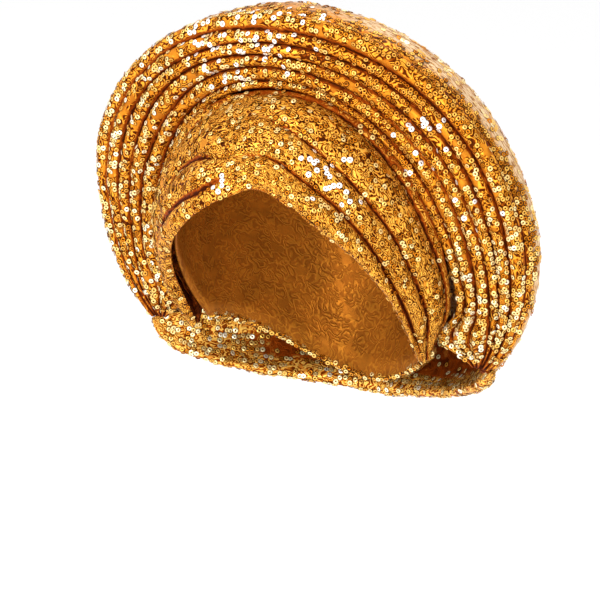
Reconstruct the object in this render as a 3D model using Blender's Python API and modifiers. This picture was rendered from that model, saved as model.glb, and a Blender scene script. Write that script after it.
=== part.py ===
# A head tie of stiff sequinned cloth, tied as a high pleated fan.
# Metres, +Z up. The front, which is open below, is -Y, and the upper wrap comes down at +X. The
# origin is the top of the hollow, under the innermost layer of cloth.
#
# The cloth is gathered at two pinches, low at each side. Every sheet of the fan, the back
# and the nape is a family of arches from pinch to pinch. Each arch lies in a plane hinged on
# the line through the pinches, the way the hoops of a pram hood do.

import math
from collections import namedtuple

import bmesh
import bpy
import numpy as np

object_name = "tied_gele_head_tie"

# Driving dimensions of the hollow that the cloth goes round
head_half_width = 0.076
head_half_depth = 0.104
head_crown_height = 0.120     # crown down to the widest level
crown_roundness = 2.8         # 2 is an ellipse, more is flatter on top
neck_taper = 0.15             # share lost in width by neck_taper_drop below the widest level
neck_taper_drop = 0.090

# Driving dimensions of the cloth
cloth_wall = 0.0016
layer_gap = 0.0005
pinch_half_width = 0.112
pinch_back = 0.0255
pinch_drop = 0.175            # pinch line below the crown
pinch_bundle = 0.006          # depth of the gathered cloth at a pinch
pinch_rise = 0.0055           # how far the gathers are drawn up at the very end
root_hook = 0.020             # how far the inner pleats turn in near the pinches
seat_hook = 0.008             # and the wraps under them
root_half_width = 0.0995      # inner edge of the fan
root_lean = -22.5             # degrees from upright, minus is towards the front
fan_rise = 0.0435             # inner edge to the last crease, at the middle
fan_spread = 0.0545           # the same at the sides
pleat_depth = 0.0030
wrap_bulge = 0.0075
fold_depth = 0.0032
face_apex_drop = 0.055        # edge of the front opening at its middle
face_side_drop = 0.168        # the same edge at its two ends
face_turn = 95.0              # degrees from the middle to either end of the edge
hem_reveal = 0.008            # the crown layer stops this far above the front edge
nape_hem_drop = 0.200
nape_depth = 0.092            # pinch line back to the lower edge of the back
nape_sag = 0.009              # the band's right half hangs this much lower
nape_corner_width = 0.007     # and its right corner stands out from the pinch

arch_columns = 36
wrap_columns = 21
wrap_rows = 13
back_rows = 13

# A row for each arch. crest and width are shares of the rim's crest and half width, foot is
# the share of its own crest at which the arch is widest, end is its share of the pinch's
# half span, back and drop move its hinge by shares of the pinch's bundle.
Arch = namedtuple("Arch", "place lean crest width foot power end back drop")

root_crest = pinch_drop * 1.063
rim_crest = root_crest + fan_rise
rim_half_width = root_half_width + fan_spread
root_share = root_crest / rim_crest
root_width_share = root_half_width / rim_half_width
nape_share = nape_depth / rim_crest

fan_arches = [
    #    place   lean        crest       width             foot   power  end    back  drop
    Arch(0.00, root_lean, root_share, root_width_share, 0.310, 2.10, 0.970, 0.0, 0.0),
    Arch(1.00, root_lean + 4.9, 1.000, 1.000, 0.367, 1.90, 1.065, 0.2, 0.0),
    Arch(1.10, root_lean + 6.8, 1.009, 1.026, 0.374, 1.83, 1.085, 0.3, 0.0),
    Arch(1.25, root_lean + 10.3, 1.010, 1.039, 0.381, 1.77, 1.090, 0.6, 0.0),
    Arch(1.40, root_lean + 13.4, 0.998, 1.013, 0.381, 1.79, 1.085, 1.0, 0.0),
    Arch(1.50, root_lean + 14.6, 0.981, 0.977, 0.380, 1.81, 1.060, 1.4, 0.0),
]

back_arches = [
    Arch(0.16, 5.0, 0.950, 0.877, 0.375, 1.85, 1.014, 1.6, 0.0),
    Arch(0.27, 15.0, 0.902, 0.812, 0.370, 1.88, 1.014, 1.6, 0.0),
    Arch(0.40, 27.0, 0.819, 0.766, 0.365, 1.90, 1.005, 1.7, 0.0),
    Arch(0.57, 43.0, 0.688, 0.734, 0.350, 1.95, 0.996, 1.8, 0.1),
    Arch(0.77, 62.0, 0.532, 0.701, 0.300, 2.00, 0.988, 1.9, 0.3),
    Arch(0.93, 83.0, nape_share * 1.04, 0.660, 0.180, 1.95, 1.000, 2.0, 0.5),
    Arch(1.00, 93.0, nape_share * 0.98, 0.640, 0.120, 1.90, 1.010, 2.0, 0.6),
]

# Edges of the fan's pleats, as shares of the way from its inner edge to the last crease
pleat_edges = [0.0, 0.15, 0.32, 0.475, 0.62, 0.785, 1.0]
pleat_rise = [(0.0, 0.0), (0.25, 0.78), (0.5, 1.0), (0.75, 0.72)]

# The edge of the front opening: share of the turn, share of the drop from apex to side
face_edge_rows = [(-1.00, 1.00), (-0.85, 0.81), (-0.70, 0.62), (-0.53, 0.44), (-0.385, 0.318),
                  (-0.235, 0.190), (-0.07, 0.076), (0.09, 0.000), (0.13, 0.003), (0.25, 0.062),
                  (0.35, 0.150), (0.505, 0.295), (0.60, 0.395), (0.67, 0.490), (0.75, 0.600),
                  (0.85, 0.765), (0.92, 0.895), (1.00, 1.00)]

# Creases of the two wraps. A row is a place across, from the -X pinch to the +X one, and the
# share of the way from the front edge to the fan
under_creases = [[(0.00, 0.20), (0.29, 0.16), (0.35, 0.15), (0.41, 0.12), (0.46, 0.14), (0.64, 0.2)],
                 [(0.00, 0.45), (0.30, 0.38), (0.33, 0.42), (0.38, 0.40), (0.43, 0.34), (0.64, 0.3)]]
over_creases = [[(0.33, 0.30), (0.55, 0.29), (0.69, 0.27), (0.76, 0.23), (0.84, 0.17), (0.99, 0.2)],
                [(0.33, 0.78), (0.47, 0.71), (0.54, 0.60), (0.61, 0.54), (0.77, 0.47), (0.99, 0.5)],
                [(0.33, 0.92), (0.61, 0.88), (0.74, 0.86), (0.82, 0.83), (0.86, 0.85), (0.99, 0.8)]]
crossing_start = 0.335        # where the upper wrap's free edge meets the fan
crossing_slant = 0.21         # and how far it moves towards +X at the front edge
crossing_end = 0.64           # where the lower wrap ends, under the upper one

finishes = {
    #                 colour                 roughness  metallic
    "crown_wrap": ((0.47, 0.21, 0.035), 0.62, 0.15),
    "wrap_under": ((0.62, 0.30, 0.045), 0.45, 0.35),
    "wrap_over": ((0.66, 0.33, 0.050), 0.45, 0.35),
    "pleated_fan": ((0.70, 0.36, 0.055), 0.42, 0.40),
    "back_drape": ((0.60, 0.31, 0.060), 0.50, 0.30),
    "nape_band": ((0.52, 0.24, 0.040), 0.50, 0.30),
}


# Small helpers

def smooth_between(low, high, value):
    share = np.clip((value - low) / (high - low), 0.0, 1.0)
    return share * share * (3.0 - 2.0 * share)


def along_table(table, place):
    # A smooth curve through the rows of a table, read at one place
    rows = np.array(table, dtype=float)
    places = rows[:, 0]
    slopes = np.gradient(rows, places, axis=0)
    last = int(np.clip(np.searchsorted(places, place), 1, len(places) - 1))
    step = places[last] - places[last - 1]
    part = (place - places[last - 1]) / step
    cubic = part * part * (3.0 - 2.0 * part)
    value = rows[last - 1] * (1.0 - cubic) + rows[last] * cubic
    value += slopes[last - 1] * step * part * (1.0 - part) ** 2
    value -= slopes[last] * step * part * part * (1.0 - part)
    return value


def curved_outward(points, towards):
    # Unit normals of a grid of points, turned to the side of the direction given
    across = np.gradient(points, axis=1)
    along = np.gradient(points, axis=0)
    normals = np.cross(across, along)
    normals /= np.linalg.norm(normals, axis=2, keepdims=True) + 1e-12
    side = np.sign(np.sum(normals * towards, axis=2, keepdims=True))
    side[side == 0] = 1.0
    return normals * side


# The hollow that the cloth leaves open

def head_share(height):
    # Half width of the hollow at a height, as a share of its widest
    up = np.clip((height + head_crown_height) / head_crown_height, 0.0, 1.0)
    down = np.clip((-head_crown_height - height) / neck_taper_drop, 0.0, 1.5)
    return np.sqrt(np.maximum(1.0 - up ** crown_roundness, 0.0)) * (1.0 - neck_taper * down ** 2)


def on_head(turn, height, out):
    # A point round the hollow, turn in degrees from the front, out from its surface
    share = head_share(height)
    angle = np.radians(turn)
    return np.stack([(head_half_width * share + out) * np.sin(angle),
                     -(head_half_depth * share + out) * np.cos(angle),
                     height + 0.0 * angle], axis=-1)


def clear_of_head(points, out):
    # Points moved outwards until they clear the hollow's form grown by a distance
    rise = head_crown_height + out
    height = points[..., 2]
    up = np.clip((height + head_crown_height) / rise, 0.0, None)
    down = np.clip((-head_crown_height - height) / neck_taper_drop, 0.0, 1.5)
    taper = 1.0 - neck_taper * down ** 2
    level = (points[..., 0] / (head_half_width * taper + out)) ** 2
    level = level + (points[..., 1] / (head_half_depth * taper + out)) ** 2
    filled = level + up ** crown_roundness
    grow = np.where(filled < 1.0, (1.0 / np.maximum(filled, 1e-6)) ** 0.45, 1.0)
    moved = points.copy()
    moved[..., 0] *= grow
    moved[..., 1] *= grow
    moved[..., 2] = np.where(height > -head_crown_height,
                             (height + head_crown_height) * grow - head_crown_height, height)
    return moved


def face_edge_drop(turn):
    share = np.clip(np.asarray(turn) / face_turn, -1.0, 1.0)
    rise = np.array([along_table(face_edge_rows, value)[1] for value in np.atleast_1d(share)])
    return face_apex_drop + (face_side_drop - face_apex_drop) * rise


# Arches from pinch to pinch

def arch_points(arch, across):
    # Points of one arch, across running from 0 at the -X pinch to 1 at the +X one
    crest = arch.crest * rim_crest
    widest = arch.foot * crest
    swing = 2.0 * across - 1.0
    reach = math.pi / 2 + math.asin(min(1.0, (widest / (crest - widest)) ** (arch.power / 2)))
    turn = swing * reach
    side = np.sign(np.sin(turn)) * np.abs(np.sin(turn)) ** (2 / arch.power)
    rise = np.sign(np.cos(turn)) * np.abs(np.cos(turn)) ** (2 / arch.power)
    half_width = arch.width * rim_half_width
    foot_width = half_width * abs(math.sin(reach)) ** (2 / arch.power)
    x = half_width * side
    x = x + np.sign(swing) * (arch.end * pinch_half_width - foot_width) * np.abs(swing) ** 6
    high = widest + (crest - widest) * rise
    lean = math.radians(arch.lean)
    y = pinch_back + arch.back * pinch_bundle + high * math.sin(lean)
    z = -pinch_drop - arch.drop * pinch_bundle + high * math.cos(lean)
    z = z + pinch_rise * np.abs(swing) ** 8
    return np.stack([x, y, z], axis=-1)


def arch_at(table, place):
    return Arch(*along_table(table, place))


def inside_of(arch, distance, **changes):
    # The same arch, a distance nearer to the pinch line all along
    return arch._replace(crest=arch.crest - distance / rim_crest,
                         width=arch.width - distance / rim_half_width,
                         end=arch.end - distance / pinch_half_width, **changes)


def trimmed(count, trim):
    return trim + (1.0 - 2.0 * trim) * np.linspace(0.0, 1.0, count + 1)


# Layers of the two wraps

def crossing_edge(share):
    return crossing_start + crossing_slant * (1.0 - share) ** 2


def crossing_lift(across, share):
    # How far the upper wrap stands off where it lies on the lower one
    inner = smooth_between(crossing_edge(share) - 0.05, crossing_edge(share) - 0.01, across)
    outer = 1.0 - smooth_between(crossing_end + 0.02, crossing_end + 0.14, across)
    return (cloth_wall + layer_gap) * inner * outer


def hooked(points, across, hook):
    # Near the pinches the cloth turns inwards
    swing = 2.0 * across - 1.0
    points[..., 0] -= hook * np.sign(swing) * np.exp(-((np.abs(swing) - 0.90) / 0.06) ** 2)
    return points


def seat_line(across, step):
    # Where the fan stands on the wraps, and in steps how they go on under it
    seat = inside_of(fan_arches[0], layer_gap + 0.002 * step)
    seat = seat._replace(lean=root_lean + 5.0 * step, back=0.5 * step,
                         end=(head_half_width + 2 * cloth_wall) / pinch_half_width)
    points = hooked(arch_points(seat, across), across, seat_hook)
    return clear_of_head(points, 2 * (cloth_wall + layer_gap))


def wrap_base(across, share):
    # The outer side of a single layer of wrap. share is a column, 0 at the front edge and 1
    # under the fan
    turn = (2.0 * across - 1.0) * face_turn
    edge = on_head(turn, -face_edge_drop(turn), 2 * (cloth_wall + layer_gap))
    seat = seat_line(across, 0.0)
    centre = np.array([0.0, pinch_back * 0.4, -head_crown_height])
    middle = edge * (1.0 - share) + seat * share
    outward = middle - centre
    outward /= np.linalg.norm(outward, axis=-1, keepdims=True)
    sides = np.abs(2.0 * across - 1.0) ** 2
    level = share[:, 0]
    bulge = wrap_bulge * (1.0 - 0.6 * sides) * 4.0 * level * (1.0 - level)
    return clear_of_head(middle + outward * bulge[:, None], 2 * (cloth_wall + layer_gap))


def wrap_rolls(creases):
    # The rows of the grid: which roll between two creases each is on, and how far over it
    spare = wrap_rows - (len(creases) + 1) - 2
    levels = [0.0] + [rows[len(rows) // 2][1] for rows in creases] + [1.0]
    rolls = []
    for index, (low, high) in enumerate(zip(levels[:-1], levels[1:])):
        steps = 1 + int(round(spare * (high - low)))
        rolls += [(index, step / steps) for step in range(steps)]
    return rolls + [(len(creases), 1.0)]


def crease_lines(creases, across):
    middle = [np.array([along_table(rows, place)[1] for place in across]) for rows in creases]
    return [np.zeros_like(across)] + middle + [np.ones_like(across)]


def wrap_sheet(creases, left_edge, right_edge, fade, upper):
    points, heights = [], []
    for index, part in wrap_rolls(creases):
        # the free edge slants, so the row is settled in a few rounds
        share = np.full(wrap_columns + 1, 0.5)
        for _ in range(12):
            left = left_edge(share)
            across = left + (right_edge - left) * trimmed(wrap_columns, 0.0)
            lines = crease_lines(creases, across)
            share = lines[index] + (lines[index + 1] - lines[index]) * part
        points.append(wrap_base(across, share[:, None]))
        wide = np.minimum(1.0, (lines[index + 1] - lines[index]) / 0.3)
        height = fold_depth * (4.0 * part * (1.0 - part)) ** 0.8 * wide * fade(across)
        heights.append(height + (crossing_lift(across, share) if upper else 0.0))
    # the tuck goes on under the fan, a little further in
    for step in (0.5, 1.0):
        points.append(seat_line(across, step))
        heights.append(heights[-1])
    points = np.array(points)
    outward = curved_outward(points, points - np.array([0.0, 0.0, -head_crown_height]))
    return points + outward * np.array(heights)[..., None]


def make_wrap_under():
    points = wrap_sheet(under_creases, lambda share: 0.012, crossing_end,
                        lambda across: 1.0 - smooth_between(0.26, 0.36, across), False)
    return sheet_object("wrap_under", points)


def make_wrap_over():
    points = wrap_sheet(over_creases, crossing_edge, 0.988,
                        lambda across: 0.3 + 0.7 * smooth_between(0.50, 0.70, across), True)
    return sheet_object("wrap_over", points)


# The pleated fan

def fan_stations():
    # place, height of the pleat there and width of the pleat as a share of the fan
    stations = []
    for low, high in zip(pleat_edges[:-1], pleat_edges[1:]):
        for part, rise in pleat_rise:
            stations.append((low + (high - low) * part, rise, high - low))
    roll = [fan_arches[1].place, 1.05, 1.12, 1.20, 1.29, 1.38, 1.45, fan_arches[-1].place]
    return stations + [(place, 0.0, 1.0) for place in roll]


def make_pleated_fan():
    across = trimmed(arch_columns, 0.001)
    stations = fan_stations()
    points = np.array([arch_points(arch_at(fan_arches, row[0]), across) for row in stations])
    # the inner edge steps over the crossing of the wraps
    first = points[0]
    outward = first - np.array([0.0, pinch_back, -pinch_drop])
    outward /= np.linalg.norm(outward, axis=1, keepdims=True)
    lift = crossing_lift(across, 1.0)[:, None]
    for index in range(len(stations)):
        fade = max(0.0, 1.0 - stations[index][0] / pleat_edges[1])
        points[index] += outward * lift * fade
    for index in range(len(stations)):
        fade = max(0.0, 1.0 - stations[index][0] / pleat_edges[3])
        points[index] = hooked(points[index], across, root_hook * fade)
    front = curved_outward(points, np.array([0.0, -1.0, 0.2]))
    full_width = np.linalg.norm(points[24] - points[0], axis=1)
    open_share = full_width / full_width.max()
    for index, (place, rise, width) in enumerate(stations):
        height = pleat_depth * rise * np.minimum(1.0, open_share ** 2 * 1.3)
        points[index] += front[index] * height[:, None]
    return sheet_object("pleated_fan", points)


# The back and the nape

def back_table():
    # the back's front edge is tucked into the fan's outer roll
    lip = inside_of(fan_arches[-1], cloth_wall + layer_gap, back=1.6)
    front = [lip._replace(place=0.0, lean=lip.lean - 2.0),
             lip._replace(place=0.05, lean=lip.lean + 3.0)]
    return front + back_arches


def make_back_drape():
    table = back_table()
    across = trimmed(arch_columns, 0.006)
    points = np.array([arch_points(arch_at(table, place), across)
                       for place in np.linspace(0.0, 1.0, back_rows + 1)])
    return sheet_object("back_drape", points)


def make_nape_band():
    # a binding folded round the lower edge of the back, hanging lowest in the middle
    edge = back_arches[-1]
    inner = inside_of(edge, 2 * cloth_wall + 2 * layer_gap, power=2.0)
    hang = edge._replace(lean=110.0, crest=nape_share * 0.88, width=0.650, foot=0.03,
                         power=1.5, end=1.060, drop=1.2)
    table = [
        inner._replace(place=0.0, lean=78.0, back=1.5, drop=0.2),
        inner._replace(place=0.25, lean=93.0, back=1.5),
        inside_of(hang, 1.5 * cloth_wall, place=0.5, back=1.5),
        inside_of(hang, -cloth_wall, place=0.65, lean=111.0, back=1.9),
    ]
    # then it follows the outer face of the back, one layer further out
    for place, along in ((0.85, 0.98), (1.0, 0.90)):
        outer = arch_at(back_table(), along)
        table.append(inside_of(outer, -(cloth_wall - layer_gap / 2), place=place))
    across = trimmed(arch_columns, 0.004)
    places = np.array([0.0, 0.12, 0.25, 0.38, 0.5, 0.575, 0.65, 0.75, 0.85, 1.0])
    points = np.array([arch_points(arch_at(table, place), across) for place in places])
    right = 1.0 - 2.0 * across
    low = smooth_between(0.1, 0.5, places) * (1.0 - smooth_between(0.65, 0.95, places))
    points[..., 2] -= nape_sag * low[:, None] * smooth_between(0.1, 0.8, right)
    points[..., 0] -= nape_corner_width * low[:, None] * smooth_between(0.75, 1.0, right)
    return sheet_object("nape_band", points)


# The layer on the crown

def hem_drop(turn):
    # height of the crown layer's hem: above the front edge in front, low at the back
    behind = np.clip((abs(turn) - face_turn) / (180.0 - face_turn), 0.0, 1.0)
    front = float(face_edge_drop(turn)[0]) - hem_reveal
    return front + (nape_hem_drop - front) * float(smooth_between(0.0, 1.0, behind))


def make_crown_wrap():
    mesh = bpy.data.meshes.new("crown_wrap")
    shape = bmesh.new()
    bmesh.ops.create_uvsphere(shape, u_segments=28, v_segments=20, radius=1.0)
    low = [vert for vert in shape.verts if vert.co.z < -1e-4]
    bmesh.ops.delete(shape, geom=low, context="VERTS")
    for vert in shape.verts:
        turn = math.degrees(math.atan2(vert.co.x, -vert.co.y))
        polar = math.acos(max(-1.0, min(1.0, vert.co.z)))
        height = -hem_drop(turn) * (1.0 - math.cos(polar)) if polar > 1e-4 else 0.0
        vert.co = on_head(np.array(turn), np.array(height), 0.0)
    shape.to_mesh(mesh)
    shape.free()
    return finished("crown_wrap", mesh, 1.0)


# Making objects

def finished(name, mesh, side):
    # A shell of the cloth's thickness on one side of an open surface
    item = bpy.data.objects.new(name, mesh)
    collection.objects.link(item)
    shell = item.modifiers.new("wall", "SOLIDIFY")
    shell.thickness = cloth_wall
    shell.offset = side
    shell.use_even_offset = True
    colour, roughness, metallic = finishes[name]
    material = bpy.data.materials.new(name + "_cloth")
    material.use_nodes = True
    surface = material.node_tree.nodes["Principled BSDF"]
    surface.inputs["Base Color"].default_value = (*colour, 1.0)
    surface.inputs["Roughness"].default_value = roughness
    surface.inputs["Metallic"].default_value = metallic
    mesh.materials.append(material)
    mesh.shade_smooth()
    return item


def sheet_object(name, points):
    # An open grid moved to the points given, whose wall goes in from its outer face
    count_v, count_u = points.shape[0] - 1, points.shape[1] - 1
    mesh = bpy.data.meshes.new(name)
    shape = bmesh.new()
    bmesh.ops.create_grid(shape, x_segments=count_u, y_segments=count_v, size=1.0)
    for vert in shape.verts:
        column = int(round((vert.co.x + 1.0) / 2.0 * count_u))
        row = int(round((vert.co.y + 1.0) / 2.0 * count_v))
        vert.co = points[row, column]
    shape.normal_update()
    shape.to_mesh(mesh)
    shape.free()
    return finished(name, mesh, -1.0)


for item in list(bpy.data.objects):
    bpy.data.objects.remove(item, do_unlink=True)
collection = bpy.data.collections.new(object_name)
bpy.context.scene.collection.children.link(collection)

make_crown_wrap()
make_wrap_under()
make_wrap_over()
make_pleated_fan()
make_back_drape()
make_nape_band()
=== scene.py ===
import math
from collections import namedtuple

import bpy
import numpy as np
from mathutils import Matrix, Vector


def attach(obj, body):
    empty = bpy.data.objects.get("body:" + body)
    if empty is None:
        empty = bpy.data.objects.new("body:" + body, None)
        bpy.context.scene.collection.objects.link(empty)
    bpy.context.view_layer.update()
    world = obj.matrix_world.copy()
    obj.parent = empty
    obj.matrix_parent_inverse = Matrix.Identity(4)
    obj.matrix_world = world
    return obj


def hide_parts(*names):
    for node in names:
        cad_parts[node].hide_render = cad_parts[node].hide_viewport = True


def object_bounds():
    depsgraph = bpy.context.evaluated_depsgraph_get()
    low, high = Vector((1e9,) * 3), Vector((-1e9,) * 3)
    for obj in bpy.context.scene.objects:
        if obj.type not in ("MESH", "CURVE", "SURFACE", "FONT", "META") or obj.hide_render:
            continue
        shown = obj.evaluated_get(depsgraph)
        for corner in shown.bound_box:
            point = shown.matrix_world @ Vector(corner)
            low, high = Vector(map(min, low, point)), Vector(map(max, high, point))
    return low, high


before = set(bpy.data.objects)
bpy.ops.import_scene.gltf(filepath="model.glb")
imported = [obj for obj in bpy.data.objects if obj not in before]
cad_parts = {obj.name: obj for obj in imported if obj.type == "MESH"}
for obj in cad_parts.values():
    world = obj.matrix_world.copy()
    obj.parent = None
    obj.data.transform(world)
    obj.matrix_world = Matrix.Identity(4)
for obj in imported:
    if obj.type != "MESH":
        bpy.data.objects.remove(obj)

# Finish of a tied gele head tie: sequinned gold cloth in a pleated fan, wraps, back and nape.
# Metres, +Z up, the front is -Y, the upper wrap comes down at +X, the origin is the crown.

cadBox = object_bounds()
rng = np.random.default_rng(9219)
# waves start anywhere within this angle
phaseSpan = 6.28

# Camera

camera = {
    "azimuth": 28.0,
    "elevation": 10.0,
    "roll": 3.8,
    "lens": 300.0,
    "sensor": 36.0,
    "framePixels": 600,
    "pixelsPerMetre": 1600.0,
    "crownPixel": (320.0, 82.0),
}


def placeCamera(settings):
    turn, tip, roll = (math.radians(settings[key]) for key in ("azimuth", "elevation", "roll"))
    right = Vector((math.cos(turn), math.sin(turn), 0.0))
    level = Vector((-math.sin(turn), math.cos(turn), 0.0))
    forward = level * math.cos(tip) - Vector((0.0, 0.0, math.sin(tip)))
    up = right.cross(forward)
    half = settings["framePixels"] / 2
    across, down = half - settings["crownPixel"][0], half - settings["crownPixel"][1]
    scale = settings["pixelsPerMetre"]
    sideways = (across * math.cos(roll) + down * math.sin(roll)) / scale
    below = (down * math.cos(roll) - across * math.sin(roll)) / scale
    target = right * sideways - up * below
    distance = settings["framePixels"] / scale * settings["lens"] / settings["sensor"]
    rolledRight = right * math.cos(roll) + up * math.sin(roll)
    rolledUp = up * math.cos(roll) - right * math.sin(roll)
    data = bpy.data.cameras.new("camera")
    data.lens = settings["lens"]
    data.sensor_width = settings["sensor"]
    data.clip_end = 50.0
    item = bpy.data.objects.new("camera", data)
    bpy.context.scene.collection.objects.link(item)
    place = target - forward * distance
    columns = Matrix((rolledRight, rolledUp, -forward)).transposed()
    item.matrix_world = Matrix.Translation(place) @ columns.to_4x4()
    bpy.context.scene.camera = item
    print("camera at", [round(value, 3) for value in place])


placeCamera(camera)

# Sizes shared by every sheet

gele = {
    "headHalfWidth": 0.076,
    "headHalfDepth": 0.104,
    "headCrownHeight": 0.120,
    "crownRoundness": 2.8,
    "neckTaper": 0.15,
    "neckTaperDrop": 0.090,
    "wall": 0.0014,
    "layer": 0.0021,
    "standOff": 0.0042,
    "seatSpread": 0.0032,
    "pinchHalfSpan": 0.112,
    "pinchBack": 0.0255,
    "pinchDrop": 0.175,
    "pinchBundle": 0.006,
    "pinchRise": 0.0055,
    "rightPull": 0.0065,
    "rootHook": 0.020,
    "seatHook": 0.008,
    "rootLean": -22.5,
    "rimCrest": 0.2295,
    "rimHalfWidth": 0.154,
}

Arch = namedtuple("Arch", "place lean crest width foot power end back drop")


def smoothBetween(low, high, value):
    share = np.clip((value - low) / (high - low), 0.0, 1.0)
    return share * share * (3.0 - 2.0 * share)


def alongTable(table, place):
    # smooth curves through the rows of a table, read at an array of places
    rows = np.array(table, dtype=float)
    places = rows[:, 0]
    slopes = np.gradient(rows, places, axis=0)
    last = np.clip(np.searchsorted(places, place), 1, len(places) - 1)
    step = (places[last] - places[last - 1])[..., None]
    part = (np.asarray(place)[..., None] - places[last - 1][..., None]) / step
    cubic = part * part * (3.0 - 2.0 * part)
    value = rows[last - 1] * (1.0 - cubic) + rows[last] * cubic
    value = value + slopes[last - 1] * step * part * (1.0 - part) ** 2
    return value - slopes[last] * step * part * part * (1.0 - part)


def archAt(table, place):
    value = alongTable(table, np.asarray(place, dtype=float))
    return Arch(*np.moveaxis(value, -1, 0))


def archPoints(arch, across):
    # across runs from 0 at the -X pinch to 1 at the +X one
    crest = arch.crest * gele["rimCrest"]
    widest = arch.foot * crest
    swing = 2.0 * across - 1.0
    share = np.minimum(1.0, (widest / (crest - widest)) ** (arch.power / 2))
    reach = math.pi / 2 + np.arcsin(share)
    turn = swing * reach
    side = np.sign(np.sin(turn)) * np.abs(np.sin(turn)) ** (2 / arch.power)
    rise = np.sign(np.cos(turn)) * np.abs(np.cos(turn)) ** (2 / arch.power)
    halfWidth = arch.width * gele["rimHalfWidth"]
    footWidth = halfWidth * np.abs(np.sin(reach)) ** (2 / arch.power)
    pull = arch.end * gele["pinchHalfSpan"] - footWidth
    x = halfWidth * side + np.sign(swing) * pull * np.abs(swing) ** 6
    # the -X pinch is drawn out a little further than the +X one
    x = x - gele["rightPull"] * np.clip(-swing, 0.0, 1.0) ** 7
    high = widest + (crest - widest) * rise
    lean = np.radians(arch.lean)
    y = gele["pinchBack"] + arch.back * gele["pinchBundle"] + high * np.sin(lean)
    z = -gele["pinchDrop"] - arch.drop * gele["pinchBundle"] + high * np.cos(lean)
    z = z + gele["pinchRise"] * np.abs(swing) ** 8
    return np.stack(np.broadcast_arrays(x, y, z), axis=-1)


def insideOf(arch, distance, **changes):
    return arch._replace(crest=arch.crest - distance / gele["rimCrest"],
                         width=arch.width - distance / gele["rimHalfWidth"],
                         end=arch.end - distance / gele["pinchHalfSpan"], **changes)


def hooked(points, across, hook):
    # near the pinches the cloth turns inwards
    swing = 2.0 * across - 1.0
    turnedIn = hook * np.sign(swing) * np.exp(-((np.abs(swing) - 0.90) / 0.06) ** 2)
    return points - turnedIn[..., None] * np.array([1.0, 0.0, 0.0])


def gathered(points, across, start, amount, place):
    # the two ends of a sheet are drawn together where they are tied
    side = np.sign(2.0 * across - 1.0)[..., None]
    share = amount * smoothBetween(start, 1.0, np.abs(2.0 * across - 1.0))[..., None]
    out = side * place[0] - gele["rightPull"] * (side < 0.0)
    knot = np.concatenate([out, 0.0 * side + place[1], 0.0 * side + place[2]], axis=-1)
    return points * (1.0 - share) + knot * share


def clearOfHead(points, out):
    rise = gele["headCrownHeight"] + out
    height = points[..., 2] + gele["headCrownHeight"]
    down = np.clip(-height / gele["neckTaperDrop"], 0.0, 1.5)
    taper = 1.0 - gele["neckTaper"] * down ** 2
    level = (points[..., 0] / (gele["headHalfWidth"] * taper + out)) ** 2
    level = level + (points[..., 1] / (gele["headHalfDepth"] * taper + out)) ** 2
    filled = level + np.clip(height / rise, 0.0, None) ** gele["crownRoundness"]
    grow = np.where(filled < 1.0, (1.0 / np.maximum(filled, 1e-6)) ** 0.45, 1.0)
    moved = points * grow[..., None]
    lifted = height * grow - gele["headCrownHeight"]
    moved[..., 2] = np.where(height > 0.0, lifted, points[..., 2])
    return moved


def onHead(turn, height, out):
    up = np.clip((height + gele["headCrownHeight"]) / gele["headCrownHeight"], 0.0, 1.0)
    down = np.clip((-gele["headCrownHeight"] - height) / gele["neckTaperDrop"], 0.0, 1.5)
    share = np.sqrt(np.maximum(1.0 - up ** gele["crownRoundness"], 0.0))
    share = share * (1.0 - gele["neckTaper"] * down ** 2)
    angle = np.radians(turn)
    return np.stack(np.broadcast_arrays(
        (gele["headHalfWidth"] * share + out) * np.sin(angle),
        -(gele["headHalfDepth"] * share + out) * np.cos(angle), height), axis=-1)


def outwardNormals(points):
    normals = np.cross(np.gradient(points, axis=1), np.gradient(points, axis=0))
    return normals / (np.linalg.norm(normals, axis=2, keepdims=True) + 1e-12)


def ripple(across, along, count, finest, coarsest):
    # a gentle unevenness, a sum of waves in metres of cloth
    value = np.zeros(np.broadcast(across, along).shape)
    for _ in range(count):
        size = rng.uniform(finest, coarsest)
        heading, phase = rng.uniform(0.0, math.tau, 2)
        wave = across * math.cos(heading) + along * math.sin(heading)
        value = value + np.sin(wave * math.tau / size + phase)
    return value / math.sqrt(count)


# Shader maths

class Field:
    # a number or colour that comes out of a node
    def __init__(self, tree, socket):
        self.tree = tree
        self.socket = socket

    def calculate(self, operation, first, second):
        node = self.tree.nodes.new("ShaderNodeMath")
        node.operation = operation
        for index, value in enumerate((first, second)):
            plug(self.tree, node.inputs[index], value)
        return Field(self.tree, node.outputs[0])

    def __add__(self, other):
        return self.calculate("ADD", self, other)

    def __sub__(self, other):
        return self.calculate("SUBTRACT", self, other)

    def __mul__(self, other):
        return self.calculate("MULTIPLY", self, other)

    def __radd__(self, other):
        return self.calculate("ADD", other, self)

    def __rsub__(self, other):
        return self.calculate("SUBTRACT", other, self)

    def __rmul__(self, other):
        return self.calculate("MULTIPLY", other, self)

    def __abs__(self):
        return self.calculate("ABSOLUTE", self, 0.0)


def plug(tree, socket, value):
    if isinstance(value, Field):
        tree.links.new(value.socket, socket)
    else:
        socket.default_value = value


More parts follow.
